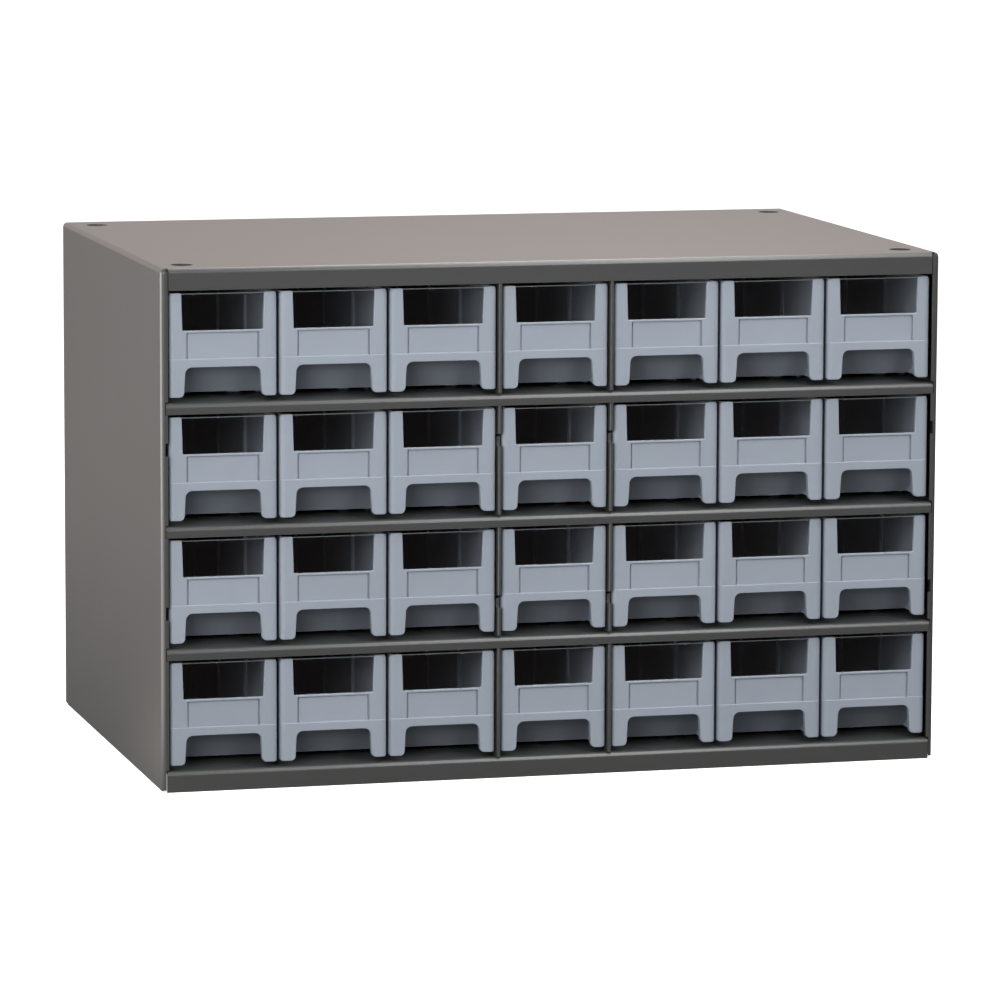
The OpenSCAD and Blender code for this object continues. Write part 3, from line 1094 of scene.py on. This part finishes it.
@dataclass(frozen=True)
class Softbox:
    """An area lamp that looks at the cabinet: turns in degrees, metres, watts.

    Its length runs as near to the direction called along as it can, and its width across that.
    Its glow as seen from the cabinet is power / (pi * width * length).
    """

    name: str
    azimuth: float
    elevation: float
    distance: float
    width: float
    length: float
    power: float
    along: Triple = (0, 0, 1)
    aim: Triple = (0, 0, 0.14)

    def build(self) -> bpy.types.Object:
        """Makes the lamp.

        Returns:
            The lamp.
        """
        data = bpy.data.lights.new(self.name, "AREA")
        data.shape, data.energy = "RECTANGLE", self.power
        data.size, data.size_y = self.width, self.length
        out = outwards(self.azimuth, self.elevation)
        across = Vector(self.along).cross(out).normalized()
        axes = Matrix((across, out.cross(across), out)).transposed().to_4x4()
        lamp = bpy.data.objects.new(self.name, data)
        lamp.matrix_world = Matrix.Translation(Vector(self.aim) + out * self.distance) @ axes
        bpy.context.scene.collection.objects.link(lamp)
        return lamp


@dataclass
class Studio:
    """A pale floor that runs out into white, softboxes, and a room that is dark behind the camera.

    Reflections show the white behind the cabinet, and the unlit end of the room in front of it,
    so clear windows stay clear and the paint's top and sides pick up the backdrop. Floor and room
    each have three parts, one for each kind of ray: what the camera sees, what lights matt
    surfaces, and what glossy and clear ones show. The last also has a bright pool on the floor,
    left of the case, which gives its left front bend the light line down its length.
    """

    # What the camera sees: a floor that takes the shadow, and turns white within these distances
    floor_size: float = 60.0
    floor_colour: str = "#E6E6E6"
    floor_white: float = 0.75
    white_span: Pair = (0.4, 1.2)

    # What lights matt surfaces
    sky_light: float = 0.2
    floor_glow: float = 0.15

    # What glossy and clear surfaces show, before and behind the cabinet
    room_white: str = "#FFEEE8"
    room_before: float = 0.1
    room_behind: float = 0.7
    room_span: Pair = (-0.35, 0.6)
    floor_before: float = 0.05
    floor_behind: float = 0.26
    floor_span: Pair = (-0.55, 1.1)
    pool: float = 5.0
    pool_at: Triple = (-0.88, -0.18, 0.0)
    pool_span: Pair = (0.35, 0.7)

    lamps: tuple[Softbox, ...] = (
        Softbox("softbox_left", -98, 10, distance=0.82, width=0.8, length=0.5, power=7.3),
        Softbox("softbox_over", 28, 50, 1.5, width=0.35, length=2.5, power=25.0, along=(-0.2, 1, 0)),
        Softbox("softbox_rear", 150, 59, 1.5, width=0.5, length=1.6, power=11.0, along=(0.1, 1, 0)),
        Softbox("softbox_front", -37, 17, distance=1.45, width=0.65, length=0.55, power=9.3),
    )

    def fade(
        self, tree: bpy.types.NodeTree, place: bpy.types.NodeSocket, span: Pair, levels: Pair
    ) -> bpy.types.NodeSocket:
        """Adds a strength that changes smoothly along Y.

        Args:
            tree: the tree that gets the nodes.
            place: a place or direction, of which Y counts.
            span: where the change starts and ends.
            levels: the strength before and after it.

        Returns:
            The strength.
        """
        along = add(tree, "SeparateXYZ", inputs={"Vector": place}).outputs["Y"]
        rise = change(along, span, levels)
        return add(tree, "MapRange", {"interpolation_type": "SMOOTHSTEP"}, rise).outputs["Result"]

    def ring(
        self, tree: bpy.types.NodeTree, place: bpy.types.NodeSocket, middle: Triple, span: Pair,
        levels: Pair,
    ) -> bpy.types.NodeSocket:
        """Adds a strength that changes smoothly with the distance from a place.

        Args:
            tree: the tree that gets the nodes.
            place: where the surface is.
            middle: the place that the distance is taken from.
            span: the distances where the change starts and ends.
            levels: the strength inside and outside.

        Returns:
            The strength.
        """
        away = add(tree, "VectorMath", {"operation": "DISTANCE"}, {0: place, 1: middle})
        rise = change(away.outputs["Value"], span, levels)
        return add(tree, "MapRange", {"interpolation_type": "SMOOTHSTEP"}, rise).outputs["Result"]

    def by_ray(
        self, tree: bpy.types.NodeTree, seen: bpy.types.Node, lit: bpy.types.Node, shown: bpy.types.Node
    ) -> bpy.types.NodeSocket:
        """Adds the choice of a shader by the kind of ray that meets the surface.

        Args:
            tree: the tree that gets the nodes.
            seen: what the camera sees.
            lit: what lights matt surfaces.
            shown: what glossy and clear surfaces show.

        Returns:
            The shader chosen.
        """
        path = add(tree, "LightPath").outputs
        rays = {0: path["Is Glossy Ray"], 1: path["Is Transmission Ray"]}
        sent_on = add(tree, "Math", {"operation": "MAXIMUM"}, rays).outputs[0]
        others = add(tree, "MixShader", inputs={0: sent_on, 1: lit.outputs[0], 2: shown.outputs[0]})
        choice = {0: path["Is Camera Ray"], 1: others.outputs[0], 2: seen.outputs[0]}
        return add(tree, "MixShader", inputs=choice).outputs[0]

    def floor(self) -> bpy.types.Object:
        """Makes the floor. Its colour takes the shadow, and its own white keeps it pale.

        Returns:
            The floor.
        """
        half = self.floor_size / 2 / MM
        corners = np.array([(-half, -half, 0), (half, -half, 0), (half, half, 0), (-half, half, 0)])
        mesh = Surface(corners, np.arange(4), np.array([4])).to_mesh("floor", MM)
        floor = bpy.data.objects.new("floor", mesh)
        bpy.context.scene.collection.objects.link(floor)
        material, tree = new_tree("pale_floor")
        place = add(tree, "TexCoord").outputs["Object"]
        pale = self.ring(tree, place, (0.0, 0.0, 0.0), self.white_span, (self.floor_white, 1.0))
        white = add(tree, "Emission", inputs={"Strength": pale})
        base = add(tree, "BsdfDiffuse", inputs={"Color": linear(self.floor_colour)})
        seen = add(tree, "AddShader", inputs={0: base.outputs[0], 1: white.outputs[0]})
        glow = add(tree, "Emission", inputs={"Strength": self.floor_glow})
        level = self.fade(tree, place, self.floor_span, (self.floor_before, self.floor_behind))
        pool = self.ring(tree, place, self.pool_at, self.pool_span, (self.pool, 0.0))
        total = add(tree, "Math", {"operation": "ADD"}, {0: level, 1: pool}).outputs[0]
        glint = add(tree, "Emission", inputs={"Color": linear(self.room_white), "Strength": total})
        add(tree, "OutputMaterial", inputs={"Surface": self.by_ray(tree, seen, glow, glint)})
        mesh.materials.append(material)
        return floor

    def room(self) -> None:
        """Makes the backdrop: white for the camera, soft light and reflections for the object."""
        world = bpy.data.worlds.new("studio")
        world.use_nodes = True
        tree = world.node_tree
        tree.nodes.clear()
        plain = linear("#FFFFFF")
        seen = add(tree, "Background", inputs={"Color": plain, "Strength": 1.0})
        light = add(tree, "Background", inputs={"Color": plain, "Strength": self.sky_light})
        direction = add(tree, "TexCoord").outputs["Generated"]
        level = self.fade(tree, direction, self.room_span, (self.room_before, self.room_behind))
        glint = add(tree, "Background", inputs={"Color": linear(self.room_white), "Strength": level})
        add(tree, "OutputWorld", inputs={"Surface": self.by_ray(tree, seen, light, glint)})
        bpy.context.scene.world = world

    def build(self) -> list[bpy.types.Object]:
        """Sets up the floor, the backdrop and the lamps.

        Returns:
            The floor and the lamps.
        """
        bpy.context.scene.view_settings.view_transform = "Standard"
        floor = self.floor()
        self.room()
        return [floor, *(lamp.build() for lamp in self.lamps)]


def main() -> None:
    """Builds the camera, the studio and the cabinet in order, and reports each piece."""
    logging.basicConfig(level=logging.INFO, format="%(message)s")
    for maker in (Camera(), Studio(), SteelCase(), DrawerMould(), ClearWindow()):
        for piece in maker.build():
            log.info("%s: %s", type(maker).__name__, piece.name)


if __name__ == "__main__":
    main()
